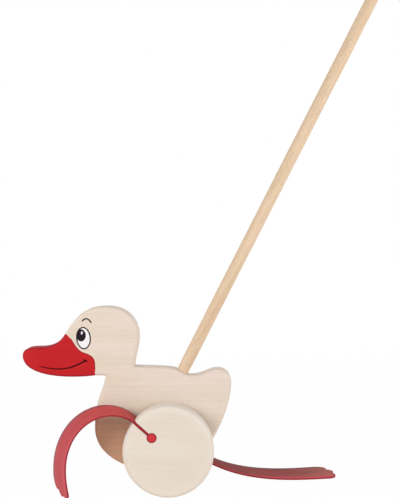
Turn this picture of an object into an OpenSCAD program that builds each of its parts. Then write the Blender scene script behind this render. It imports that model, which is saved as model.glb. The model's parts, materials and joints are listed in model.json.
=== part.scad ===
// Duck push toy: a sawn wooden duck on two wheels, with a push stick and flapping rubber feet.
// Lengths are in millimetres. +Z is up, the duck faces -X and its left side is -Y.
// Heights and reaches of the duck are measured from the middle of the axle.

/* [Duck] */
// Thickness of the board that the duck is sawn from
board_t = 20; // [16:0.5:28]
// Radius of the rounding along the edges of the board
board_edge_r = 3; // [1:0.5:5]
// Reach of the tip of the bill in front of the axle
bill_reach = 145; // [138:1:165]
// Length of the rounded nose of the bill
nose_len = 16.5; // [14:0.5:20]
// Height of the tip of the bill
bill_tip_z = 89; // [84:0.5:92]
// Height of the top of the bill
bill_top_z = 97; // [94:0.5:100]
// Height of the underside of the bill
bill_under_z = 68; // [62:0.5:72]
// Height of the crown of the head
crown_z = 137.5; // [130:0.5:155]
// Reach of the back of the head in front of the axle
nape_reach = 30; // [24:0.5:34]
// Height of the back at the root of the neck
back_z = 78; // [74:0.5:84]
// Height of the hollow between the back and the tail
hollow_z = 69; // [64:0.5:72]
// Height of the top of the tail
tail_z = 75.5; // [72:0.5:86]
// Reach of the tail behind the axle
tail_reach = 61.5; // [56:0.5:75]
// Depth of the belly below the axle
belly_drop = 26; // [20:0.5:32]
// Reach of the chest in front of the axle
chest_reach = 73.5; // [70:0.5:85]

/* [Push stick] */
// Diameter of the stick
stick_d = 12; // [10:0.5:14]
// Whole length of the stick
stick_len = 460; // [300:5:600]
// Lean of the stick behind the upright
stick_lean = 27; // [20:0.5:35]
// Reach of the bottom of the stick's socket in front of the axle
socket_reach = 3.5; // [0:0.5:10]
// Height of the bottom of the stick's socket
socket_z = 40; // [34:0.5:46]
// Length of the turned-down end that is glued into the socket
tenon_len = 45; // [42:0.5:60]
// Radial step between the stick and its turned-down end
tenon_step = 0.25; // [0.2:0.05:0.5]
// Rounding of the stick's top end
stick_end_r = 1.5; // [0.5:0.5:4]

/* [Wheels] */
// Diameter of the wheels
wheel_d = 88; // [80:1:110]
// Thickness of a wheel
wheel_t = 20; // [16:0.5:28]
// Rounding of a wheel's edges
wheel_edge_r = 4; // [1:0.5:6]
// Gap between the duck and each wheel
wheel_gap = 3; // [2:0.5:6]
// Diameter of the axle
axle_d = 10; // [8:0.5:14]
// Depth of the axle's blind hole in a wheel
axle_seat = 13; // [8:0.5:15]
// Diameter of the washers beside the duck
washer_d = 20; // [18:0.5:26]

/* [Feet] */
// Distance from the axle to the bead that holds a foot in its wheel
bead_r = 21; // [17:0.5:26]
// Diameter of the bead
bead_d = 9.5; // [7:0.5:11]
// How far the bead stands out of the wheel at each end
bead_proud = 0.3; // [0.1:0.1:1]
// Thickness of the rubber sheet
foot_t = 2.7; // [1.6:0.1:3]
// Length from the rim of the wheel to the tip of the middle toe
foot_len = 133; // [100:1:134]
// Width across the toes
foot_w = 34; // [28:0.5:45]
// How far the outer edges of the side toes fall short of the middle toe
toe_drop = 7; // [2:0.5:14]
// How far one side of the toes runs ahead of the middle, and the other side behind it
toe_slant = 6; // [0:0.5:8]
// Depth of the notches between the toes
toe_notch = 4.5; // [2:0.5:8]
// Angle of the left foot's slot, measured up from straight behind the axle
left_slot = 138.5; // [120:0.5:150]
// How far the left foot hangs over
left_turn = 146; // [125:1:150]
// How early along its length the left foot bends
left_ease = 1.55; // [1.2:0.05:2.5]
// Twist of the left foot along its length
left_twist = 31; // [0:1:35]
// Angle of the right foot's slot, measured up from straight behind the axle
right_slot = -29.25; // [-30:0.25:0]
// How far the right foot curls up to lie along the ground
right_turn = 33; // [30:1:60]
// How early along its length the right foot bends
right_ease = 2.2; // [1.6:0.05:2.5]
// Twist of the right foot along its length
right_twist = 2; // [0:1:15]

/* [Fits] */
// Radial clearance of the turning axle in the duck
running_fit = 0.1; // [0.05:0.05:0.4]
// Radial clearance of glued round joints
glue_fit = 0.05; // [0.05:0.05:0.2]
// Clearance of the rubber in the wheel's keyhole
foot_fit = 0.1; // [0.05:0.05:0.3]
// Clearance between a washer and the duck
side_play = 0.4; // [0.2:0.1:1]

/* [Hidden] */
$fn = 64;

wheel_r = wheel_d / 2;
stick_r = stick_d / 2;
tenon_r = stick_r - tenon_step;
washer_t = wheel_gap - side_play;
inner_face = board_t / 2 + wheel_gap;
axle_len = 2 * (inner_face + axle_seat);
socket_cut = tenon_len + stick_d;
past = 1;

// The frame's origin is below the middle of the part, between the bill's tip and the stick's top end
stick_top_x = stick_len * sin(stick_lean) - socket_reach;
stick_max_x = stick_top_x - stick_end_r * sin(stick_lean)
    + (stick_r - stick_end_r) * cos(stick_lean) + stick_end_r;
middle_x = (stick_max_x - bill_reach) / 2;

// Outline of the duck as Bezier knots, clockwise from the bill's tip when seen from the left:
// x, z, heading on arrival, heading on leaving, handle before, handle after, hub
knots = [
    [-bill_reach, bill_tip_z, 90, 90, 14.5, 7.5, 0],
    [-bill_reach + nose_len, bill_top_z, 0, 0, 9, 10, 0],
    [-104, 109, 57, 58, 10, 24.5, 1],
    [-62.5, crown_z, 0, 0, 21, 20.5, 1],
    [-nape_reach, 107, -90, -90, 17.5, 10, 1],
    [-nape_reach - 4.5, back_z, -92, -3, 8.5, 15, 2],
    [5.5, back_z - 2.5, -16, -16, 8, 9, 2],
    [22.5, hollow_z, 0, 0, 8, 11, 3],
    [47.5, tail_z, 0, 0, 9, 8.5, 3],
    [tail_reach, 62, -90, -90, 9, 24, 2],
    [-2, -belly_drop, 180, 180, 40, 43, 2],
    [-chest_reach, 17.5, 90, 90, 26, 30, 2],
    [-63, bill_under_z + 1, 81, 174, 18, 13.5, 1],
    [-96, bill_under_z, 180, 180, 22, 27, 0]
];
// Depth of the tail's hub below the top of the tail
tail_hub_depth = 18;
// Hubs of the flat faces: each span of the outline is in plain view of its hub, so triangles reach it
hubs = [
    [-113, (bill_top_z + bill_under_z) / 2],
    [-66, (crown_z + bill_under_z) / 2],
    [-15, 30],
    [43.5, tail_z - tail_hub_depth]
];
span_steps = 8;
edge_steps = 4;

// Feet: rings along the length, places across half the width, steps of the middle line
foot_steps = 22;
toe_steps = 9;
line_steps = 120;
toes = 3;
line_len = foot_len + toe_slant;
toe_round = 0.6;
// How early a foot widens and twists
spread_ease = 2;

function heading_vector(a) = [cos(a), sin(a)];

function bezier(p, q, r, s, t) =
    pow(1 - t, 3) * p + 3 * t * pow(1 - t, 2) * q + 3 * t * t * (1 - t) * r + pow(t, 3) * s;

function span(a, b) =
    let (p = [a[0], a[1]], s = [b[0], b[1]])
    let (q = p + a[5] * heading_vector(a[3]), r = s - b[4] * heading_vector(b[2]))
    [for (i = [0 : span_steps - 1]) bezier(p, q, r, s, i / span_steps)];

function closed_curve(k) = [for (i = [0 : len(k) - 1]) each span(k[i], k[(i + 1) % len(k)])];

// Inward normal of a step along a clockwise outline
function inward(d) = [d.y, -d.x] / norm(d);

// Moves each point of a clockwise outline inwards by the same distance from both of its edges
function inset(points, depth) =
    let (n = len(points))
    [for (i = [0 : n - 1])
        let (before = inward(points[i] - points[(i + n - 1) % n]))
        let (after = inward(points[(i + 1) % n] - points[i]))
        points[i] + depth * (before + after) / (1 + before * after)];

// Two triangles for each cell between rings of n points that lie one after the other in a list
function ring_sides(rings, n) = [
    for (i = [0 : rings - 2], j = [0 : n - 1])
        let (a = i * n + j, b = i * n + (j + 1) % n)
        each [[b + n, b, a], [a + n, b + n, a]]
];

// Triangles of a flat face from its outline to its hubs, with one more where the hub changes.
// Outline points are counted from first, and hubs from hub_first
function flat_face(span_hubs, n, first, hub_first) = [
    for (j = [0 : n - 1])
        let (here = span_hubs[floor(j / span_steps)])
        let (before = span_hubs[floor(((j + n - 1) % n) / span_steps)])
        each concat(
            [[hub_first + here, first + j, first + (j + 1) % n]],
            here == before ? [] : [[hub_first + before, first + j, hub_first + here]]
        )
];

// A board in the XZ plane with rounded edges
module rounded_board(points, span_hubs, thickness, edge_r) {
    n = len(points);
    flat = thickness / 2 - edge_r;
    // Depth inwards and height along one rounding, from the side of the board to its face
    rounding = [
        for (i = [0 : edge_steps])
            let (a = 90 * i / edge_steps)
            [edge_r * (1 - cos(a)), flat + edge_r * sin(a)]
    ];
    section = concat([for (i = [edge_steps : -1 : 0]) [rounding[i].x, -rounding[i].y]], rounding);
    last = (len(section) - 1) * n;
    left_hub = len(section) * n;
    right_hub = left_hub + len(hubs);
    polyhedron(
        points = concat(
            [for (s = section, p = inset(points, s.x)) [p.x, s.y, p.y]],
            [for (y = [-thickness / 2, thickness / 2], h = hubs) [h.x, y, h.y]]
        ),
        faces = concat(
            flat_face(span_hubs, n, 0, left_hub),
            ring_sides(len(section), n),
            [for (t = flat_face(span_hubs, n, last, right_hub)) [t[2], t[1], t[0]]]
        )
    );
}

// Moves what is drawn round the axle into the part's own frame
module at_axle() translate([-middle_x, 0, wheel_r]) children();

// Turns what is drawn flat, outwards up, into the left wheel's place, or the right one's
module at_wheel(right) at_axle()
    mirror([0, right ? 1 : 0, 0])
        translate([0, -inner_face, 0])
            rotate([90, 0, 0])
                children();

module along_stick() at_axle()
    translate([-socket_reach, 0, socket_z])
        rotate([0, stick_lean, 0])
            children();

module duck_body() color("bisque") difference() {
    at_axle() rounded_board(closed_curve(knots), [for (k = knots) k[6]], board_t, board_edge_r);
    at_axle() rotate([90, 0, 0])
        cylinder(r = axle_d / 2 + running_fit, h = board_t + 2 * past, center = true);
    along_stick() cylinder(r = tenon_r + glue_fit, h = socket_cut);
}

module push_stick() color("burlywood") along_stick() rotate_extrude() {
    square([tenon_r, tenon_len]);
    translate([0, tenon_len]) square([stick_r, stick_len - tenon_len - stick_end_r]);
    square([stick_r - stick_end_r, stick_len]);
    translate([stick_r - stick_end_r, stick_len - stick_end_r]) circle(r = stick_end_r);
}

module axle() color("tan") at_axle() rotate([90, 0, 0])
    cylinder(d = axle_d, h = axle_len, center = true);

module washer(right) color("ivory") at_wheel(right) mirror([0, 0, 1]) difference() {
    cylinder(d = washer_d, h = washer_t);
    translate([0, 0, -past]) cylinder(r = axle_d / 2 + glue_fit, h = washer_t + 2 * past);
}

// Half section of a wheel with both edges rounded
module wheel_section() {
    square([wheel_r - wheel_edge_r, wheel_t]);
    translate([0, wheel_edge_r]) square([wheel_r, wheel_t - 2 * wheel_edge_r]);
    for (z = [wheel_edge_r, wheel_t - wheel_edge_r])
        translate([wheel_r - wheel_edge_r, z]) circle(r = wheel_edge_r);
}

module wheel(right, slot) color("antiquewhite") at_wheel(right) difference() {
    rotate_extrude() wheel_section();
    translate([0, 0, -past]) cylinder(r = axle_d / 2 + glue_fit, h = axle_seat + past);
    rotate(slot) translate([bead_r, 0, -past]) {
        cylinder(r = bead_d / 2 + foot_fit, h = wheel_t + 2 * past);
        translate([0, -foot_t / 2 - foot_fit, 0])
            cube([wheel_r, foot_t + 2 * foot_fit, wheel_t + 2 * past]);
    }
}

// Share of a change that is reached at a share u of the length, most of it early
function eased(u, ease) = 1 - pow(1 - u, ease);

// Heading of a foot's middle line at a share u of its length
function foot_heading(u, slot, turn, ease) = slot + turn * eased(u, ease);

// Points at even steps along the middle line of a foot, from the rim of the wheel
function foot_line(slot, turn, ease) =
    let (step = line_len / line_steps)
    [for (i = 0, p = wheel_r * heading_vector(slot); i <= line_steps;
        p = p + step * heading_vector(foot_heading((i + 0.5) / line_steps, slot, turn, ease)),
        i = i + 1) p];

// How far a foot reaches at a place across it, from -1 on its inner edge to 1 on its outer edge
function toe_reach(v, slant) =
    foot_len + slant * v - toe_drop * v * v
        - toe_notch * (1 - pow(abs(cos(90 * toes * v)), toe_round));

// Places across a foot, there on its upper face and back on its lower face
across = [
    for (j = [-toe_steps : toe_steps]) [j / toe_steps, 1],
    for (j = [toe_steps : -1 : -toe_steps]) [j / toe_steps, -1]
];

// One ring of points round a foot's section, at a share u of its length
function foot_ring(u, slot, turn, ease, twist, slant, line) =
    let (xs = [for (i = [0 : line_steps]) [i / line_steps, line[i].x]])
    let (ys = [for (i = [0 : line_steps]) [i / line_steps, line[i].y]])
    [for (a = across)
        let (share = u * toe_reach(a[0], slant) / line_len)
        let (normal = heading_vector(foot_heading(share, slot, turn, ease) - 90))
        let (width = wheel_t + (foot_w - wheel_t) * eased(share, spread_ease))
        let (lean = twist * eased(share, spread_ease))
        let (out = a[0] * width / 2, up = a[1] * foot_t / 2)
        let (lift = up * cos(lean) - out * sin(lean))
        [
            lookup(share, xs) + lift * normal.x,
            lookup(share, ys) + lift * normal.y,
            width / 2 + out * cos(lean) + up * sin(lean)
        ]];

// The part of the sheet that lies in the wheel's slot ends at the bead
function root_ring(slot) =
    [for (a = across)
        let (p = bead_r * heading_vector(slot) + a[1] * foot_t / 2 * heading_vector(slot - 90))
        [p.x, p.y, wheel_t / 2 * (1 + a[0])]];

module foot_sheet(slot, turn, ease, twist, slant) {
    line = foot_line(slot, turn, ease);
    n = len(across);
    rings = concat(
        [root_ring(slot)],
        [for (i = [0 : foot_steps]) foot_ring(i / foot_steps, slot, turn, ease, twist, slant, line)]
    );
    last = (len(rings) - 1) * n;
    rungs = [for (j = [0 : n / 2 - 2]) [j, n - 1 - j, n - 2 - j, j + 1]];
    polyhedron(
        points = [for (ring = rings) each ring],
        faces = concat(
            [for (q = rungs) each [[q[0], q[1], q[2]], [q[0], q[2], q[3]]]],
            ring_sides(len(rings), n),
            [for (q = rungs) each [
                [last + q[2], last + q[1], last + q[0]],
                [last + q[3], last + q[2], last + q[0]]
            ]]
        )
    );
}

// A foot is one moulding: a bead that locks it in the wheel, and a sheet that ends in three toes
module foot(right, slot, turn, ease, twist, slant) color("firebrick") at_wheel(right) {
    foot_sheet(slot, turn, ease, twist, slant);
    rotate(slot) translate([bead_r, 0, -bead_proud])
        cylinder(d = bead_d, h = wheel_t + 2 * bead_proud);
}

module wheel_left() wheel(false, left_slot);
module wheel_right() wheel(true, right_slot);
module axle_washer_left() washer(false);
module axle_washer_right() washer(true);
module foot_left() foot(false, left_slot, left_turn, left_ease, left_twist, toe_slant);
module foot_right() foot(true, right_slot, right_turn, right_ease, right_twist, -toe_slant);

duck_body();
push_stick();
axle();
wheel_left();
wheel_right();
axle_washer_left();
axle_washer_right();
foot_left();
foot_right();
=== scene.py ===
import bpy
import bmesh
import json
from math import cos, sin, radians, pi
from mathutils import Matrix, Vector
from mathutils.geometry import interpolate_bezier

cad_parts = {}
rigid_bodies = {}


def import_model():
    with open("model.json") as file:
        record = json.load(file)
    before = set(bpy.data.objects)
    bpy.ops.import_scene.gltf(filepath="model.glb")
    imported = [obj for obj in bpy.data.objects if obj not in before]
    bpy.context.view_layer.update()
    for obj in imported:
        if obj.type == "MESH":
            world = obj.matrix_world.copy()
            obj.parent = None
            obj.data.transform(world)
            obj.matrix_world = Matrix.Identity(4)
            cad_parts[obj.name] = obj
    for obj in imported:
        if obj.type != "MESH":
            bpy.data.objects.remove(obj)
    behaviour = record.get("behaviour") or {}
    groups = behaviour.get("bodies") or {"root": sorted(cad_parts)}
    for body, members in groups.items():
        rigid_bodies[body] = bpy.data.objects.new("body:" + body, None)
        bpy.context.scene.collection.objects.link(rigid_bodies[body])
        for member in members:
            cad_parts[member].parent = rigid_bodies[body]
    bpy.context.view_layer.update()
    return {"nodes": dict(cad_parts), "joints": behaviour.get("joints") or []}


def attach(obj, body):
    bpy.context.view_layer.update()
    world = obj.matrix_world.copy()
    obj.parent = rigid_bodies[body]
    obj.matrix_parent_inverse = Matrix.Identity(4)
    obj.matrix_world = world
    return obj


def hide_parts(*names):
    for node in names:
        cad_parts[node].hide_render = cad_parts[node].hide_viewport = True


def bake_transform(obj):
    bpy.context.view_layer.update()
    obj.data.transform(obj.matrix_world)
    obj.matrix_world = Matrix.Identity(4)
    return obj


for thing in list(bpy.data.objects):  # the start-up scene's cube, lamp and camera
    bpy.data.objects.remove(thing)

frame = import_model()
print("frame loaded:", ", ".join(sorted(frame["nodes"])))

mm = 0.001
spin = next(j for j in frame["joints"] if j["name"] == "wheel_spin")
axlePlace = Vector(spin["pos_m"])  # the toy's drawing is measured from the middle of the axle


def heading(degrees):
    return Vector((cos(radians(degrees)), 0, sin(radians(degrees))))


def fromAxle(x, y, z):
    return axlePlace + Vector((x, y, z)) * mm


# camera: level, on the duck's left, where the photograph was taken from
camera = {
    "across": 30.5, "back": 730, "up": 194.5,  # mm from the axle
    "focalPixels": 730, "tallPixels": 498, "sensor": 36, "near": 0.01, "far": 100}

lens = bpy.data.cameras.new("photoLens")
lens.sensor_width = camera["sensor"]
lens.lens = camera["sensor"] * camera["focalPixels"] / camera["tallPixels"]
lens.clip_start = camera["near"]
lens.clip_end = camera["far"]
photoCamera = bpy.data.objects.new("photoCamera", lens)
photoCamera.location = fromAxle(camera["across"], -camera["back"], camera["up"])
photoCamera.rotation_euler = (pi / 2, 0, 0)
bpy.context.scene.collection.objects.link(photoCamera)
bpy.context.scene.camera = photoCamera
bpy.context.scene.view_settings.view_transform = "Standard"
print("camera set")


# shader maths: a wire is a socket that can be added, multiplied and so on
class Wire:
    def __init__(self, nodes, socket):
        self.nodes = nodes
        self.socket = socket

    def output(self, name):  # another output of the same node
        return Wire(self.nodes, self.socket.node.outputs[name])

    def __add__(self, other):
        return self.nodes.maths("ADD", self, other)

    def __radd__(self, other):
        return self.nodes.maths("ADD", other, self)

    def __sub__(self, other):
        return self.nodes.maths("SUBTRACT", self, other)

    def __rsub__(self, other):
        return self.nodes.maths("SUBTRACT", other, self)

    def __mul__(self, other):
        return self.nodes.maths("MULTIPLY", self, other)

    def __rmul__(self, other):
        return self.nodes.maths("MULTIPLY", other, self)

    def __truediv__(self, other):
        return self.nodes.maths("DIVIDE", self, other)

    def __rtruediv__(self, other):
        return self.nodes.maths("DIVIDE", other, self)


class Nodes:
    def __init__(self, tree):
        self.tree = tree
        self.tree.nodes.clear()

    def feed(self, socket, value):
        if isinstance(value, Wire):
            self.tree.links.new(value.socket, socket)
        elif socket.type == "RGBA":
            socket.default_value = (*value, 1)
        else:
            socket.default_value = value

    def node(self, kind, settings, sockets, output=0):
        made = self.tree.nodes.new(kind)
        for setting, value in settings.items():
            if setting == "stops":
                stops = made.color_ramp.elements
                while len(stops) < len(value):
                    stops.new(0.5)
                for stop, (place, shade) in zip(stops, value):
                    stop.position = place
                    stop.color = (shade, shade, shade, 1)
            else:
                setattr(made, setting, value)
        for socket, value in sockets.items():
            self.feed(made.inputs[socket], value)
        return Wire(self, made.outputs[output]) if made.outputs else None

    def maths(self, operation, *values):
        return self.node("ShaderNodeMath", {"operation": operation}, dict(enumerate(values)))

    def place(self, centre=(0, 0, 0), turn=(0, 0, 0)):
        raw = self.node("ShaderNodeTexCoord", {}, {}, "Object")
        return self.node("ShaderNodeMapping", {"vector_type": "TEXTURE"}, {
            "Vector": raw, "Location": centre, "Rotation": [radians(angle) for angle in turn]})

    def stretch(self, place, scale):
        return self.node("ShaderNodeVectorMath", {"operation": "MULTIPLY"}, {0: place, 1: scale})

    def length(self, place):
        return self.node("ShaderNodeVectorMath", {"operation": "LENGTH"}, {0: place}, "Value")

    def noise(self, place, scale, detail, roughness=0.55, distortion=0):
        return self.node("ShaderNodeTexNoise", {}, {
            "Vector": self.stretch(place, scale), "Scale": 1, "Detail": detail,
            "Roughness": roughness, "Distortion": distortion})

    def ramp(self, value, stops):
        return self.node("ShaderNodeValToRGB", {"stops": stops}, {"Fac": value})

    def level(self, value, low, high, bottom=0, top=1):
        return self.node("ShaderNodeMapRange", {"clamp": True, "interpolation_type": "SMOOTHSTEP"}, {
            "Value": value, "From Min": low, "From Max": high, "To Min": bottom, "To Max": top})

    def mix(self, factor, first, second):
        return self.node("ShaderNodeMix", {"data_type": "RGBA"}, {0: factor, 6: first, 7: second}, 2)


class Finish(Nodes):
    def __init__(self, name, constants):
        self.material = bpy.data.materials.new(name)
        self.material.use_nodes = True
        super().__init__(self.material.node_tree)
        self.shader = self.node("ShaderNodeBsdfPrincipled", {}, constants)
        self.node("ShaderNodeOutputMaterial", {}, {"Surface": self.shader})

    def give(self, sockets):
        for socket, value in sockets.items():
            self.feed(self.shader.socket.node.inputs[socket], value)

    def bump(self, height, strength, distance):
        self.give({"Normal": self.node("ShaderNodeBump", {}, {
            "Strength": strength, "Distance": distance, "Height": height})})


# wood: each noise is its scale along, across and up the grain, its detail and its roughness
woodGrain = {
    "sway": ((5, 30, 30), 2), "shake": ((18, 160, 160), 3), "patch": ((9, 42, 60), 2),
    "fibre": ((26, 900, 900), 4, 0.65), "hair": ((90, 4200, 4200), 2, 0.6),
    "fleck": ((150, 2300, 2300), 1, 0.4), "shakeShare": 0.25,
    "lateWood": [(0, 0), (0.55, 0.25), (0.86, 1), (0.97, 0.35), (1, 0)],  # how dark, across one ring
    # where each noise starts to show and where it shows in full
    "patchShows": (0.3, 0.7), "fibreShows": (0.34, 0.72), "fleckShows": (0.66, 0.74),
    "streakShows": (0.36, 0.68),
    "rough": {"base": 0.44, "fibre": 0.14, "fleck": 0.1}, "coatRoughness": 0.35,
    "relief": {"fibre": 0.5, "hair": 0.35, "fleck": 0.5, "ring": 0.15}, "bump": (0.22, 0.25 * mm)}


def woodFinish(name, look):
    grain, rough, relief = woodGrain, woodGrain["rough"], woodGrain["relief"]
    wood = Finish(name, {"Specular IOR Level": look["gloss"], "Coat Weight": look["coat"],
                         "Coat Roughness": grain["coatRoughness"]})
    place = wood.place(look["heart"], look["turn"])
    aside = wood.node("ShaderNodeSeparateXYZ", {}, {0: place}, "Y")
    above = aside.output("Z")
    # growth rings lie round the heart of the log, a little uneven
    sway = (wood.noise(place, *grain["sway"]) - 0.5) * look["sway"]
    shake = (wood.noise(place, *grain["shake"]) - 0.5) * (look["sway"] * grain["shakeShare"])
    rings = (wood.maths("SQRT", aside * aside + above * above) + sway + shake) / look["ring"]
    lateWood = wood.ramp(wood.maths("FRACT", rings), grain["lateWood"])
    fibre = wood.noise(place, *grain["fibre"])
    hair = wood.noise(place, *grain["hair"])
    patch = wood.level(wood.noise(place, *grain["patch"]), *grain["patchShows"])
    fleck = wood.level(wood.noise(place, *grain["fleck"]), *grain["fleckShows"])
    colour = wood.mix(patch, look["pale"], look["mid"])
    colour = wood.mix(wood.level(fibre, *grain["fibreShows"]) * look["fibre"], colour, look["dark"])
    colour = wood.mix(lateWood * look["rings"], colour, look["dark"])
    if "paintedBellyShade" in look:  # painted shade: a browner, darker patch in the board stands in for the shade under the left foot
        paintedBellyShade = look["paintedBellyShade"]
        near = wood.length(wood.stretch(wood.place(paintedBellyShade["centre"]), paintedBellyShade["shape"]))
        inside = wood.level(near + sway, *paintedBellyShade["within"], 1, 0)
        fibres = wood.level(fibre, *grain["streakShows"])
        streak = wood.mix(fibres * paintedBellyShade["fibre"], paintedBellyShade["brown"], look["deep"])
        streak = wood.mix(lateWood * paintedBellyShade["rings"], streak, look["deep"])
        colour = wood.mix(inside * paintedBellyShade["strength"], colour, streak)
    colour = wood.mix(fleck * look["fleck"], colour, look["deep"])
    if "rim" in look:  # the rounded rim of a wheel is paler, partly as sanding leaves it and partly as a painted highlight for the light on the rim
        rim = look["rim"]
        outer = wood.level(wood.length(wood.stretch(wood.place(axlePlace), (1, 0, 1))), *rim["within"])
        colour = wood.mix(outer * rim["strength"], colour, rim["pale"])
    wood.give({"Base Color": colour,
               "Roughness": rough["base"] + fibre * rough["fibre"] + fleck * rough["fleck"]})
    wood.bump(fibre * relief["fibre"] + hair * relief["hair"] - fleck * relief["fleck"]
              - lateWood * relief["ring"], *grain["bump"])
    return wood.material


# heart is the middle of the log, ring the width of a year's growth, in metres
duckWood = woodFinish("duckWood", {
    "heart": (0.02, 0.055, -0.11), "turn": (0, 0, 0), "ring": 0.0068, "sway": 0.010,
    "fibre": 0.19, "rings": 0.12, "fleck": 0.2, "gloss": 0.3, "coat": 0.12,
    "pale": (0.835, 0.735, 0.665), "mid": (0.79, 0.70, 0.585),
    "dark": (0.68, 0.51, 0.37), "deep": (0.52, 0.35, 0.22),
    # painted shade: a browner patch low on the breast and belly, for the shade under the left foot
    "paintedBellyShade": {
        "centre": fromAxle(-62, -10, -7), "shape": (0.6, 1.7, 1), "within": (0.028, 0.044),
        "strength": 0.85, "brown": (0.76, 0.36, 0.20), "fibre": 0.45, "rings": 0.5}})
wheelWood = woodFinish("wheelWood", {
    "heart": (0.05, 0.12, 0.23), "turn": (0, 3, 0), "ring": 0.0052, "sway": 0.008,
    "fibre": 0.18, "rings": 0.08, "fleck": 0.15, "gloss": 0.35, "coat": 0.08,
    "pale": (0.835, 0.775, 0.69), "mid": (0.81, 0.74, 0.65),
    "dark": (0.72, 0.60, 0.48), "deep": (0.60, 0.46, 0.33),
    # rim: paler wood partly from sanding, partly painted highlight
    "rim": {"within": (0.031, 0.0445), "strength": 0.3, "pale": (0.90, 0.85, 0.79)}})
stickWood = woodFinish("stickWood", {
    "heart": (0.06, 0.03, 0.28), "turn": (0, -63, 0), "ring": 0.0042, "sway": 0.005,
    "fibre": 0.5, "rings": 0.4, "fleck": 0.5, "gloss": 0.05, "coat": 0,
    "pale": (0.89, 0.71, 0.52), "mid": (0.83, 0.645, 0.46),
    "dark": (0.61, 0.42, 0.26), "deep": (0.43, 0.28, 0.16)})
axleWood = woodFinish("axleWood", {
    "heart": (-0.02, 0, 0.03), "turn": (0, 0, 90), "ring": 0.0035, "sway": 0.004,
    "fibre": 0.4, "rings": 0.3, "fleck": 0.4, "gloss": 0.1, "coat": 0,
    "pale": (0.80, 0.62, 0.43), "mid": (0.74, 0.55, 0.37),
    "dark": (0.58, 0.38, 0.22), "deep": (0.42, 0.25, 0.13)})

# bill: red paint, cloudy, with the wood's fibres showing through
billCoat = {
    "cloud": ((40, 60, 90), 3), "cloudShows": (0.3, 0.7), "speck": ((1400, 1400, 1400), 2),
    "streakShows": (0.45, 0.75), "streaks": 0.25, "gloss": 0.1,
    "rough": {"base": 0.44, "fibre": 0.1, "speck": 0.06},
    "relief": {"fibre": 0.6, "speck": 0.4}, "bump": (0.12, 0.2 * mm)}


def billFinish(name, red, deep, streak):
    coat, rough, relief = billCoat, billCoat["rough"], billCoat["relief"]
    paint = Finish(name, {"Specular IOR Level": coat["gloss"]})
    place = paint.place()
    cloud = paint.level(paint.noise(place, *coat["cloud"]), *coat["cloudShows"])
    fibre = paint.noise(place, *woodGrain["fibre"])
    speck = paint.noise(place, *coat["speck"])
    colour = paint.mix(cloud, red, deep)
    colour = paint.mix(paint.level(fibre, *coat["streakShows"]) * coat["streaks"], colour, streak)
    paint.give({"Base Color": colour,
                "Roughness": rough["base"] + fibre * rough["fibre"] + speck * rough["speck"]})
    paint.bump(fibre * relief["fibre"] + speck * relief["speck"], *coat["bump"])
    return paint.material


billPaint = billFinish("billPaint", (0.58, 0.018, 0.022), (0.53, 0.015, 0.020), (0.42, 0.012, 0.018))
# the darker red is painted shade on the bill's rounded edges
billShadedEdge = billFinish("billShadedEdge", (0.44, 0.016, 0.026), (0.40, 0.014, 0.024), (0.32, 0.010, 0.018))

# inks of the printed face, worn thin in specks
inkCoat = {
    "speck": ((900, 900, 1600), 3), "speckShows": (0.5, 0.85), "wear": 0.5, "gloss": 0.08,
    "rough": {"base": 0.46, "speck": 0.14},
    "relief": {"fibre": 0.6, "speck": 0.4}, "bump": (0.1, 0.2 * mm)}


def printFinish(name, colour, worn):
    coat, rough, relief = inkCoat, inkCoat["rough"], inkCoat["relief"]
    ink = Finish(name, {"Specular IOR Level": coat["gloss"]})
    place = ink.place()
    speck = ink.noise(place, *coat["speck"])
    fibre = ink.noise(place, *woodGrain["fibre"])
    ink.give({"Base Color": ink.mix(ink.level(speck, *coat["speckShows"]) * coat["wear"], colour, worn),
              "Roughness": rough["base"] + speck * rough["speck"]})
    ink.bump(fibre * relief["fibre"] + speck * relief["speck"], *coat["bump"])
    return ink.material


eyeWhite = printFinish("eyeWhite", (0.91, 0.91, 0.95), (0.82, 0.81, 0.84))
inkBlack = printFinish("inkBlack", (0.006, 0.005, 0.006), (0.03, 0.022, 0.02))
glintGrey = printFinish("glintGrey", (0.74, 0.72, 0.78), (0.62, 0.6, 0.66))
pupilInk = printFinish("pupilInk", (0.016, 0.010, 0.015), (0.05, 0.035, 0.045))
mouthInk = printFinish("mouthInk", (0.06, 0.001, 0.002), (0.11, 0.002, 0.003))
cheekInk = printFinish("cheekInk", (0.30, 0.007, 0.011), (0.38, 0.009, 0.013))

# rubber: scuff and streak are measured along and across the foot, the rest in space
rubberGrain = {
    "bloom": ((55, 90, 55), 4, 0.6), "dust": ((520, 900, 520), 3, 0.6),
    "pores": ((2600, 2600, 2600), 2, 0.5),
    "scuff": ((9, 70, 1), 4, 0.7, 0.4), "streak": ((1.6, 6, 3), 4, 0.65, 0.4),
    "bloomShows": (0.3, 0.72), "dustShows": (0.45, 0.8), "dusting": 0.3,
    "scuffShows": (0.42, 0.75), "streakShows": (0.44, 0.66),
    # shares of the foot's length, or of its width from the border with painted shade
    "scuffedDown": (0.35, 1, 0.25, 1), "shadedBorderWithin": (0.05, 0.30),
    "highlightFrom": (0.82, 0.94), "highlightDown": (0.15, 0.6),
    "rough": {"bloom": 0.1, "dust": 0.08, "scuff": 0.06},
    "relief": {"pores": 0.5, "dust": 0.3, "scuff": 0.3}, "bump": (0.16, 0.2 * mm)}


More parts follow.
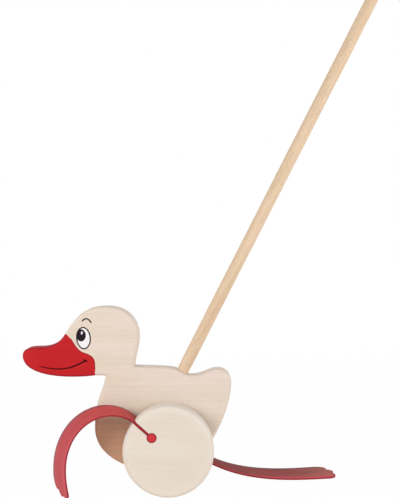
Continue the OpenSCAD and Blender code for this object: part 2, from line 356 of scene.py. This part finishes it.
def rubberFinish(name, look):
    grain, rough, relief = rubberGrain, rubberGrain["rough"], rubberGrain["relief"]
    rubber = Finish(name, {"Specular IOR Level": look["gloss"]})
    place = rubber.place()
    onFoot = rubber.node("ShaderNodeUVMap", {"uv_map": "footMap"}, {})
    down = rubber.node("ShaderNodeSeparateXYZ", {}, {0: onFoot}, "X")
    bloom = rubber.noise(place, *grain["bloom"])
    dust = rubber.noise(place, *grain["dust"])
    pores = rubber.noise(place, *grain["pores"])
    scuff = rubber.noise(onFoot, *grain["scuff"])  # long scuffs from slapping the floor
    scuffed = rubber.level(scuff, *grain["scuffShows"]) * rubber.level(down, *grain["scuffedDown"])
    colour = rubber.mix(rubber.level(bloom, *grain["bloomShows"]), look["red"], look["deep"])
    colour = rubber.mix(scuffed * look["scuffs"], colour, look["dusty"])
    wear = look.get("wear")
    if wear:  # dark streaks, and a darker root that is painted shade where the foot meets the wheel
        streak = rubber.level(rubber.noise(onFoot, *grain["streak"]), *grain["streakShows"])
        colour = rubber.mix(streak * wear["streaks"], colour, wear["dark"])
        root = rubber.level(down, 0, wear["rootReach"], 1, 0)
        colour = rubber.mix(root * wear["paintedRootShade"], colour, wear["dark"])
    colour = rubber.mix(rubber.level(dust, *grain["dustShows"]) * grain["dusting"], colour, look["dusty"])
    if wear:  # toes take a toe tone, lighter on the inner face, where with the darker root it is a painted shadow of the wheel and body; painted shade greys the far long border as the feet hang, and a painted highlight lightens the near one
        aside = down.output("Y") if wear["shadedBorderAt"] == 0 else 1 - down.output("Y")
        toes = rubber.level(down, *wear["toeFrom"])
        colour = rubber.mix(toes * wear["toeToneShare"], colour, wear["toeTone"])
        shadedBorder = rubber.level(aside, *grain["shadedBorderWithin"], 1, 0)
        colour = rubber.mix(shadedBorder * wear["borderShade"], colour, wear["borderShadeTone"])
        nearHighlight = rubber.level(aside, *grain["highlightFrom"]) * rubber.level(down, *grain["highlightDown"])
        colour = rubber.mix(nearHighlight * wear["line"], colour, wear["highlightTone"])
    rubber.give({"Base Color": colour, "Roughness": look["roughness"] + bloom * rough["bloom"]
                 + dust * rough["dust"] + scuff * rough["scuff"]})
    rubber.bump(pores * relief["pores"] + dust * relief["dust"] + scuff * relief["scuff"], *grain["bump"])
    return rubber.material


# the moulding's outer face; its inner face, a darker copy of it that is painted shade; the corners, a
# lighter red that is a painted highlight; the cut edge, darkened as painted shade; and the bead, in this
# order
plainRubber = {"scuffs": 0.3, "gloss": 0.3, "roughness": 0.44}
rubberLooks = {
    "rubberSkin": {
        "red": (0.70, 0.082, 0.082), "deep": (0.63, 0.072, 0.073), "dusty": (0.70, 0.135, 0.125),
        "scuffs": 0.75, "gloss": 0.3, "roughness": 0.46,
        "wear": {
            "dark": (0.34, 0.034, 0.032), "streaks": 0.6, "paintedRootShade": 0.6, "rootReach": 0.22,
            "shadedBorderAt": 0, "borderShade": 0.85, "borderShadeTone": (0.31, 0.085, 0.105),
            "line": 0.8, "highlightTone": (0.64, 0.085, 0.115),
            "toeToneShare": 0.75, "toeTone": (0.475, 0.048, 0.062), "toeFrom": (0.2, 0.5)}},
    # painted shade: the inner face is the outer face's red darkened, for the shadow on the far foot
    "rubberInnerShaded": {
        "red": (0.38, 0.076, 0.074), "deep": (0.32, 0.066, 0.064), "dusty": (0.44, 0.120, 0.108),
        "scuffs": 0.8, "gloss": 0.12, "roughness": 0.5,
        "wear": {
            "dark": (0.17, 0.028, 0.031), "streaks": 0.9, "paintedRootShade": 0.5, "rootReach": 0.5,
            "shadedBorderAt": 1, "borderShade": 0.85, "borderShadeTone": (0.21, 0.105, 0.105),
            "line": 0.75, "highlightTone": (0.68, 0.115, 0.140),
            "toeToneShare": 0.75, "toeTone": (0.52, 0.180, 0.145), "toeFrom": (0.55, 1)}},
    # painted highlight: a lighter red on the rounded corners
    "rubberCornerHighlight": {
        "red": (0.60, 0.075, 0.090), "deep": (0.54, 0.062, 0.075), "dusty": (0.62, 0.11, 0.12),
        **plainRubber},
    # painted shade: a darker red on the cut edge, for the shade in the wheel's slit
    "rubberEdgeShaded": {
        "red": (0.32, 0.016, 0.028), "deep": (0.28, 0.014, 0.024), "dusty": (0.35, 0.030, 0.042),
        **plainRubber},
    "rubberBead": {
        "red": (0.66, 0.028, 0.046), "deep": (0.60, 0.024, 0.040), "dusty": (0.64, 0.060, 0.072),
        **plainRubber}}
rubbers = [rubberFinish(name, look) for name, look in rubberLooks.items()]

# washers: matt plastic, a little hazy
washerLook = {
    "pale": (0.86, 0.83, 0.76), "dim": (0.78, 0.74, 0.66), "gloss": 0.4,
    "haze": ((220, 220, 220), 3), "matt": ((3200, 3200, 3200), 2),
    "rough": {"base": 0.5, "matt": 0.2}, "bump": (0.15, 0.1 * mm)}


def washerFinish(name, look):
    plastic = Finish(name, {"Specular IOR Level": look["gloss"]})
    place = plastic.place()
    matt = plastic.noise(place, *look["matt"])
    plastic.give({"Base Color": plastic.mix(plastic.noise(place, *look["haze"]), look["pale"], look["dim"]),
                  "Roughness": look["rough"]["base"] + matt * look["rough"]["matt"]})
    plastic.bump(matt, *look["bump"])
    return plastic.material


washerPlastic = washerFinish("washerPlastic", washerLook)
print("finishes made")


# mesh helpers
def outward(bm):
    bmesh.ops.recalc_face_normals(bm, faces=bm.faces[:])


def vertsIn(geom):
    return [part for part in geom if isinstance(part, bmesh.types.BMVert)]


def thicken(bm, along):  # pulls a flat shape out into a solid
    grown = bmesh.ops.extrude_face_region(bm, geom=bm.faces[:], use_keep_orig=True)["geom"]
    bmesh.ops.translate(bm, verts=vertsIn(grown), vec=along)


def roundOver(bm, edges, radius, steps, clamp=False):
    bmesh.ops.bevel(bm, geom=edges, offset=radius, offset_type="OFFSET", segments=steps, profile=0.5,
                    affect="EDGES", material=-1, clamp_overlap=clamp)


def dowel(diameter, length, steps, place):
    bm = bmesh.new()
    bmesh.ops.create_cone(bm, cap_ends=True, segments=steps, radius1=diameter / 2, radius2=diameter / 2,
                          depth=length, matrix=place)
    return bm


def pieceFrom(bm, name, finishes, sharpFrom=40):
    mesh = bpy.data.meshes.new(name)
    bm.to_mesh(mesh)
    bm.free()
    for finish in finishes:
        mesh.materials.append(finish)
    mesh.shade_smooth()
    mesh.set_sharp_from_angle(angle=radians(sharpFrom))
    piece = bpy.data.objects.new(name, mesh)
    bpy.context.scene.collection.objects.link(piece)
    return piece


def joinSolids(piece, tool, operation, sharpFrom=40):
    carve = piece.modifiers.new("carve", "BOOLEAN")
    carve.operation = operation
    carve.object = tool
    carve.solver = "EXACT"
    made = bpy.data.meshes.new_from_object(piece.evaluated_get(bpy.context.evaluated_depsgraph_get()))
    piece.modifiers.clear()
    piece.data = made
    bpy.data.objects.remove(tool)
    made.set_sharp_from_angle(angle=radians(sharpFrom))


def evenKnots(knots):  # x, z, heading and handle, the same on both sides of each knot
    return [(x, z, turn, turn, handle, handle) for x, z, turn, handle, *_ in knots]


def curve(knots, steps):
    points = []
    for (x, z, _, leave, _, after), (toX, toZ, arrive, _, before, _) in zip(knots, knots[1:]):
        here, there = Vector((x, 0, z)), Vector((toX, 0, toZ))
        points += interpolate_bezier(here, here + heading(leave) * after,
                                     there - heading(arrive) * before, there, steps + 1)[:-1]
    return points + [Vector((knots[-1][0], 0, knots[-1][1]))]


# duck: a sawn board, edges rounded over, with the bill dipped in red; mm from the axle
duckBoard = {
    "thickness": 20, "edgeRadius": 3, "edgeSteps": 7, "spanSteps": 32, "sharpFrom": 50,
    "flatBorder": 0.25, "flatFrom": 0.9999,  # keeps the shading of the flat faces level
    "axleHole": 10.2, "socketHole": 11.9, "socketFoot": (-3.5, 40), "socketDepth": 57, "lean": 27,
    "holeSteps": 64, "drillPast": 2,
    # x, z, heading on arrival and on leaving, handle before and after; clockwise from the bill's tip
    "outline": [
        (-145, 89, 90, 90, 14.5, 7.5), (-128.5, 97, 0, 0, 9, 10), (-104, 109, 57, 58, 10, 24.5),
        (-62.5, 137.5, 0, 0, 21, 20.5), (-30, 107, -90, -90, 17.5, 10), (-34.5, 78, -92, -3, 8.5, 15),
        (5.5, 75.5, -16, -16, 8, 9), (22.5, 69, 0, 0, 8, 11), (47.5, 75.5, 0, 0, 9, 8.5),
        (61.5, 62, -90, -90, 9, 24), (-2, -26, 180, 180, 40, 43), (-73.5, 17.5, 90, 90, 26, 30),
        (-63, 69, 81, 174, 18, 13.5), (-96, 68, 180, 180, 22, 27)],
    "brow": 2, "throat": 12,  # knots where the red starts, and after which it ends
    "shadedEdgeFrom": 0.85,  # how far a face turns from the side before its red is the darker edge red, painted shade on the rounded edge
    # the red's edge on the cheek: x, z, heading, handle
    "cheek": [(-97.3, 106.2, -50, 4), (-84, 91.9, -15, 7), (-73.4, 82, -87, 5), (-73.1, 75.5, -90, 2)],
    "cheekSteps": 10}


def makeDuck(look):
    bm = bmesh.new()
    steps, near = look["spanSteps"], -look["thickness"] / 2
    rim = curve(look["outline"] + look["outline"][:1], steps)[:-1]
    rim = [bm.verts.new(fromAxle(p.x, near, p.z)) for p in rim]
    cheek = curve(evenKnots(look["cheek"]), look["cheekSteps"])
    cheek = [bm.verts.new(fromAxle(p.x, near, p.z)) for p in cheek]
    start = look["brow"] * steps + 1
    throat = range(look["throat"] * steps, (look["throat"] + 1) * steps)
    end = min(throat, key=lambda i: abs(rim[i].co.x - cheek[-1].co.x))
    cheek[-1].co.x = rim[end].co.x
    bare, paint, shadedEdgePaint = range(3)
    bill = bm.faces.new(rim[end:] + rim[:start + 1] + cheek)
    bill.material_index = paint
    bm.faces.new(rim[start:end + 1] + cheek[::-1])
    thicken(bm, (0, look["thickness"] * mm, 0))
    outward(bm)
    flats = [f for f in bm.faces if abs(f.normal.y) > 0.5]
    for edge in [e for f in flats if f.material_index == paint for e in f.edges]:
        for wall in edge.link_faces:
            if wall not in flats:
                wall.material_index = paint
    corners = [e for e in bm.edges if sum(f in flats for f in e.link_faces) == 1]
    roundOver(bm, corners, look["edgeRadius"] * mm, look["edgeSteps"])
    for face in bm.faces:  # painted shade: the bill's red is darker on its rounded edges
        if face.material_index != bare and abs(face.normal.y) < look["shadedEdgeFrom"]:
            face.material_index = shadedEdgePaint
    for side in (-1, 1):
        flats = [f for f in bm.faces if f.normal.y * side > look["flatFrom"]]
        bmesh.ops.inset_region(bm, faces=flats, thickness=look["flatBorder"] * mm, use_even_offset=True)
    outward(bm)
    piece = pieceFrom(bm, "duckBody", [duckWood, billPaint, billShadedEdge], look["sharpFrom"])
    # the hole for the axle and the slanting socket for the stick
    footX, footZ = look["socketFoot"]
    across = Matrix.Translation(axlePlace) @ Matrix.Rotation(pi / 2, 4, "X")
    socket = (Matrix.Translation(fromAxle(footX, 0, footZ)) @ Matrix.Rotation(radians(look["lean"]), 4, "Y")
              @ Matrix.Translation((0, 0, look["socketDepth"] * mm)))
    for diameter, length, place in (
            (look["axleHole"], look["thickness"] + 2 * look["drillPast"], across),
            (look["socketHole"], 2 * look["socketDepth"], socket)):
        drill = dowel(diameter * mm, length * mm, look["holeSteps"], place)
        joinSolids(piece, pieceFrom(drill, "drill", [duckWood]), "DIFFERENCE", look["sharpFrom"])
    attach(piece, "duck")
    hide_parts("duck_body")


makeDuck(duckBoard)
print("duck sawn, rounded and drilled")

# face: printed on both sides of the head, each ink a little higher than the one below it
facePrint = {
    "ink": 0.05, "side": 10, "spotSteps": 72, "strokeSteps": 14,
    # x, z, half width, half height, tilt, layer
    "eyeLine": (-84.4, 106.6, 7.25, 11.1, 5, 1), "eyeball": (-84.4, 106.6, 6.0, 9.85, 5, 2),
    "pupil": (-86.8, 109.4, 4.7, 6.0, 3, 3), "glint": (-86.0, 111.8, 1.0, 1.7, -10, 4),
    # x, z, heading, handle, half width
    "brow": [(-85.7, 123.2, 55, 2, 0.65), (-81.6, 125.7, 0, 2, 0.65), (-76.8, 121.7, -55, 2.5, 0.7)],
    "mouth": [
        (-127.8, 78.6, -10, 4, 0.4), (-109.1, 76.2, 1, 8, 0.62),
        (-92.8, 79.3, 22, 5, 0.8), (-81.4, 85.0, 30, 4, 0.85)],
    "mouthTick": [(-84.8, 85.9, -35, 1, 0.45), (-80.4, 82.9, -40, 1, 0.4)],
    "cheekLine": 0.35, "strokeLayer": 1}


def finishPrint(bm, name, ink, layer):
    # the flat print gets its thickness, and a copy on the far side
    thicken(bm, (0, -facePrint["ink"] * layer * mm, 0))
    copy = bmesh.ops.duplicate(bm, geom=bm.verts[:] + bm.edges[:] + bm.faces[:])["geom"]
    bmesh.ops.scale(bm, vec=(1, -1, 1), verts=vertsIn(copy))
    outward(bm)
    piece = pieceFrom(bm, name, [ink])
    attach(piece, "duck")


def printSpot(name, ink):
    x, z, wide, tall, tilt, layer = facePrint[name]
    bm = bmesh.new()
    bmesh.ops.create_circle(bm, cap_ends=True, segments=facePrint["spotSteps"], radius=1)
    shape = (Matrix.Translation(fromAxle(x, -facePrint["side"], z)) @ Matrix.Rotation(radians(-tilt), 4, "Y")
             @ Matrix.Diagonal((wide * mm, 1, tall * mm, 1)) @ Matrix.Rotation(pi / 2, 4, "X"))
    bmesh.ops.transform(bm, matrix=shape, verts=bm.verts[:])
    finishPrint(bm, name, ink, layer)


def printStrokes(name, ink, strokes):
    bm = bmesh.new()
    steps = facePrint["strokeSteps"]
    for stroke in strokes:
        line = curve(evenKnots(stroke), steps)
        ends = []
        for i, point in enumerate(line):
            span = min(i // steps, len(stroke) - 2)
            share = i / steps - span
            wide = stroke[span][4] * (1 - share) + stroke[span + 1][4] * share
            along = (line[min(i + 1, len(line) - 1)] - line[max(i - 1, 0)]).normalized()
            across = Vector((-along.z, 0, along.x)) * wide
            sides = [fromAxle(p.x, -facePrint["side"], p.z) for p in (point - across, point + across)]
            if ends:
                grown = bmesh.ops.extrude_edge_only(bm, edges=[bm.edges.get(ends)])["geom"]
                ends = sorted(vertsIn(grown), key=lambda v: v.co.dot(sides[1] - sides[0]))
                ends[0].co, ends[1].co = sides
            else:
                ends = [bm.verts.new(place) for place in sides]
                bm.edges.new(ends)
    finishPrint(bm, name, ink, facePrint["strokeLayer"])


printSpot("eyeLine", inkBlack)
printSpot("eyeball", eyeWhite)
printSpot("pupil", pupilInk)
printSpot("glint", glintGrey)
printStrokes("browStroke", inkBlack, [facePrint["brow"]])
printStrokes("mouthStroke", mouthInk, [facePrint["mouth"], facePrint["mouthTick"]])
printStrokes("cheekStroke", cheekInk, [[(*knot, facePrint["cheekLine"]) for knot in duckBoard["cheek"]]])
print("face printed")

# feet: one rubber moulding each, drawn flat with its bead and toes, then bent to how it hangs; mm
rubberFoot = {
    "thickness": 2.7, "length": 133, "rootWidth": 20, "toeWidth": 34, "spread": 2,
    "toes": 3, "toeDrop": 7, "toeSlant": 6, "toeNotch": 4.5, "toeRound": 0.6,
    "edgeRound": 0.5, "edgeSteps": 4, "crown": 0.32, "crownFrom": 0.72, "crownEase": 12,
    "wheelRadius": 44, "wheelFace": 13,
    "beadDistance": 21, "beadDiameter": 9.5, "beadLength": 20.6, "beadBorder": 0.5, "beadSteps": 48,
    "along": 96, "across": 36, "lineSteps": 240,
    "rimAngle": 60, "cornerFrom": 0.5, "faceFrom": 0.97,  # what counts as an edge, a corner and a face
    # slot is the way out of the wheel, turn and twist what the sheet bends through on its way to the toes
    "left": {"slot": 138.5, "turn": 146, "ease": 1.55, "twist": 31, "slant": 6, "side": -1,
             "bendFrom": (-33, -23, 28), "bendTo": (-52, -23, 28)},
    "right": {"slot": -29.25, "turn": 33, "ease": 2.2, "twist": 2, "slant": -6, "side": 1,
              "bendFrom": (38, 23, -21), "bendTo": (58, 23, -21)}}


def eased(share, ease):
    return 1 - (1 - share) ** ease


def footWidth(look, distance):
    share = max(0, distance) / (look["length"] + look["toeSlant"])
    return look["rootWidth"] + (look["toeWidth"] - look["rootWidth"]) * eased(share, look["spread"])


def toeReach(look, way, v):  # v runs from -1 to 1 across the foot
    dip = 1 - abs(cos(radians(90 * look["toes"] * v))) ** look["toeRound"]
    return look["length"] + way["slant"] * v - look["toeDrop"] * v * v - look["toeNotch"] * dip


def flatFoot(look, way):
    bm = bmesh.new()
    bmesh.ops.create_grid(bm, x_segments=look["along"], y_segments=look["across"], size=0.5)
    inWheel = look["wheelRadius"] - look["beadDistance"]
    rim = round(look["along"] * inWheel / (inWheel + look["length"])) / look["along"]
    for vert in bm.verts:
        share, v = vert.co.x + 0.5, 2 * vert.co.y
        if share <= rim:
            distance = inWheel * (share / rim - 1)
        else:
            distance = toeReach(look, way, v) * (share - rim) / (1 - rim)
        vert.co = (distance, v * footWidth(look, distance) / 2, -look["thickness"] / 2)
    thicken(bm, (0, 0, look["thickness"]))
    outward(bm)
    rims = [e for e in bm.edges if e.calc_face_angle(0) > radians(look["rimAngle"])
            and abs(e.verts[0].co.z - e.verts[1].co.z) < look["thickness"] / 2]
    for vert in bm.verts:  # the sheet thins towards its long edges, outside the wheel
        aside = abs(vert.co.y) * 2 / footWidth(look, vert.co.x)
        thinner = max(0, aside - look["crownFrom"]) / (1 - look["crownFrom"])
        vert.co.z *= 1 - look["crown"] * thinner ** 2 * min(1, max(0, vert.co.x / look["crownEase"]))
    roundOver(bm, rims, look["edgeRound"], look["edgeSteps"], clamp=True)
    outer, innerShaded, cornerHighlight, edge, end = range(len(rubbers))
    # inner faces get the darker copy and corners the lighter red: painted shade and painted highlight
    for face in bm.faces:
        face.material_index = edge
        if abs(face.normal.z) > look["cornerFrom"]:
            face.material_index = cornerHighlight
        if abs(face.normal.z) > look["faceFrom"]:
            face.material_index = outer if face.normal.z > 0 else innerShaded
    sheet = pieceFrom(bm, "sheet", rubbers)
    bead = dowel(look["beadDiameter"], look["beadLength"], look["beadSteps"],
                 Matrix.Translation((-inWheel, 0, 0)) @ Matrix.Rotation(pi / 2, 4, "X"))
    caps = [f for f in bead.faces if len(f.verts) > 4]
    roundOver(bead, [e for f in caps for e in f.edges], look["edgeRound"], look["edgeSteps"])
    caps = [f for f in bead.faces if len(f.verts) > 4]
    bmesh.ops.inset_region(bead, faces=caps, thickness=look["beadBorder"])
    for face in bead.faces:
        face.material_index = end if len(face.verts) > 4 else edge
    joinSolids(sheet, pieceFrom(bead, "bead", rubbers), "UNION")
    return sheet


def aimAt(way, share):  # where the sheet is heading, this share of its length from the wheel
    return way["slot"] + way["turn"] * eased(share, way["ease"])


def makeFoot(name, node, look, way):
    piece = flatFoot(look, way)
    piece.name = piece.data.name = name
    whole = look["length"] + look["toeSlant"]
    footMap = piece.data.uv_layers.new(name="footMap")
    for loop in piece.data.loops:
        along, out, _ = piece.data.vertices[loop.vertex_index].co
        footMap.data[loop.index].uv = (along / whole, 0.5 + out / footWidth(look, along))
    step = whole / look["lineSteps"]
    line = [heading(way["slot"]) * look["wheelRadius"]]
    for i in range(look["lineSteps"]):
        line.append(line[-1] + heading(aimAt(way, (i + 0.5) / look["lineSteps"])) * step)
    for vert in piece.data.vertices:
        along, out, up = vert.co
        if along <= 0:  # straight in the wheel's slit
            middle, aim, lean = heading(way["slot"]) * (look["wheelRadius"] + along), way["slot"], 0
        else:
            i = min(int(along / step), look["lineSteps"] - 1)
            middle = line[i].lerp(line[i + 1], along / step - i)
            aim = aimAt(way, along / whole)
            lean = radians(way["twist"] * eased(along / whole, look["spread"]))
        middle = middle + heading(aim - 90) * (up * cos(lean) - out * sin(lean))
        aside = footWidth(look, along) / 2 + out * cos(lean) + up * sin(lean)
        vert.co = fromAxle(middle.x, way["side"] * (look["wheelFace"] + aside), middle.z)
    bm = bmesh.new()
    bm.from_mesh(piece.data)
    outward(bm)
    bm.to_mesh(piece.data)
    bm.free()
    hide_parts(node)
    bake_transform(piece)


makeFoot("footLeft", "foot_left", rubberFoot, rubberFoot["left"])
makeFoot("footRight", "foot_right", rubberFoot, rubberFoot["right"])
print("feet moulded")

# the turned pieces keep their shape from the frame and get their finish
turnedPieces = {
    "push_stick": stickWood, "axle": axleWood, "wheel_left": wheelWood, "wheel_right": wheelWood,
    "axle_washer_left": washerPlastic, "axle_washer_right": washerPlastic}
for node, finish in turnedPieces.items():
    for slot in frame["nodes"][node].material_slots:
        slot.material = finish
print("stick, wheels, axle and washers finished")

# studio: a pale floor, a soft lamp at each side of the camera, a low one behind, and a pale room
studio = {
    "floorSize": 12, "floorTone": (0.92, 0.85, 0.77),
    "floorWhite": 0.985, "whiteFrom": 0.35, "whiteAt": 1.3,  # the floor whitens from the toy outwards
    "lamps": {  # x, y, z, width, power
        "key": (-1.10, -0.90, 0.58, 0.8, 10.6), "fill": (1.30, -0.72, 0.47, 0.8, 10.1),
        "back": (-0.20, 1.40, 0.10, 0.5, 9)},
    "aim": Vector((0, 0, 0.13)), "lampTone": (0.92, 0.935, 0.965),
    "room": 0.43, "roomTone": (1.0, 0.955, 0.915), "white": (1, 1, 1)}


def seenDirectly(nodes):  # 1 for the camera, gloss and glass, 0 for light that falls on the toy
    path = nodes.node("ShaderNodeLightPath", {}, {}, "Is Camera Ray")
    seen = path
    for kind in ("Is Glossy Ray", "Is Transmission Ray"):
        seen = nodes.maths("MAXIMUM", seen, path.output(kind))
    return seen


paleFloor = bpy.data.materials.new("paleFloor")
paleFloor.use_nodes = True
floorPaint = Nodes(paleFloor.node_tree)
matt = floorPaint.node("ShaderNodeBsdfDiffuse", {}, {"Color": studio["floorTone"]})
glow = floorPaint.node("ShaderNodeEmission", {}, {"Color": studio["white"], "Strength": 1})
whiter = floorPaint.level(floorPaint.length(floorPaint.place()), studio["whiteFrom"], studio["whiteAt"],
                          studio["floorWhite"], 1)
floorPaint.node("ShaderNodeOutputMaterial", {}, {"Surface": floorPaint.node(
    "ShaderNodeMixShader", {}, {0: seenDirectly(floorPaint) * whiter, 1: matt, 2: glow})})
ground = bmesh.new()
bmesh.ops.create_grid(ground, x_segments=1, y_segments=1, size=studio["floorSize"])
floor = pieceFrom(ground, "floor", [paleFloor])

for name, (x, y, z, width, power) in studio["lamps"].items():
    lamp = bpy.data.lights.new(name, "AREA")
    lamp.shape = "DISK"
    lamp.size = width
    lamp.energy = power
    lamp.color = studio["lampTone"]
    light = bpy.data.objects.new(name, lamp)
    light.location = (x, y, z)
    light.rotation_euler = (studio["aim"] - light.location).to_track_quat("-Z", "Y").to_euler()
    light.visible_glossy = name != "back"  # no sheen on the top edges from behind
    bpy.context.scene.collection.objects.link(light)

room = bpy.data.worlds.new("room")
room.use_nodes = True
bpy.context.scene.world = room
air = Nodes(room.node_tree)
seen = seenDirectly(air)
sky = air.node("ShaderNodeBackground", {}, {
    "Color": air.mix(seen, studio["roomTone"], studio["white"]),
    "Strength": air.level(seen, 0, 1, studio["room"], 1)})
air.node("ShaderNodeOutputWorld", {}, {"Surface": sky})
print("studio lit")
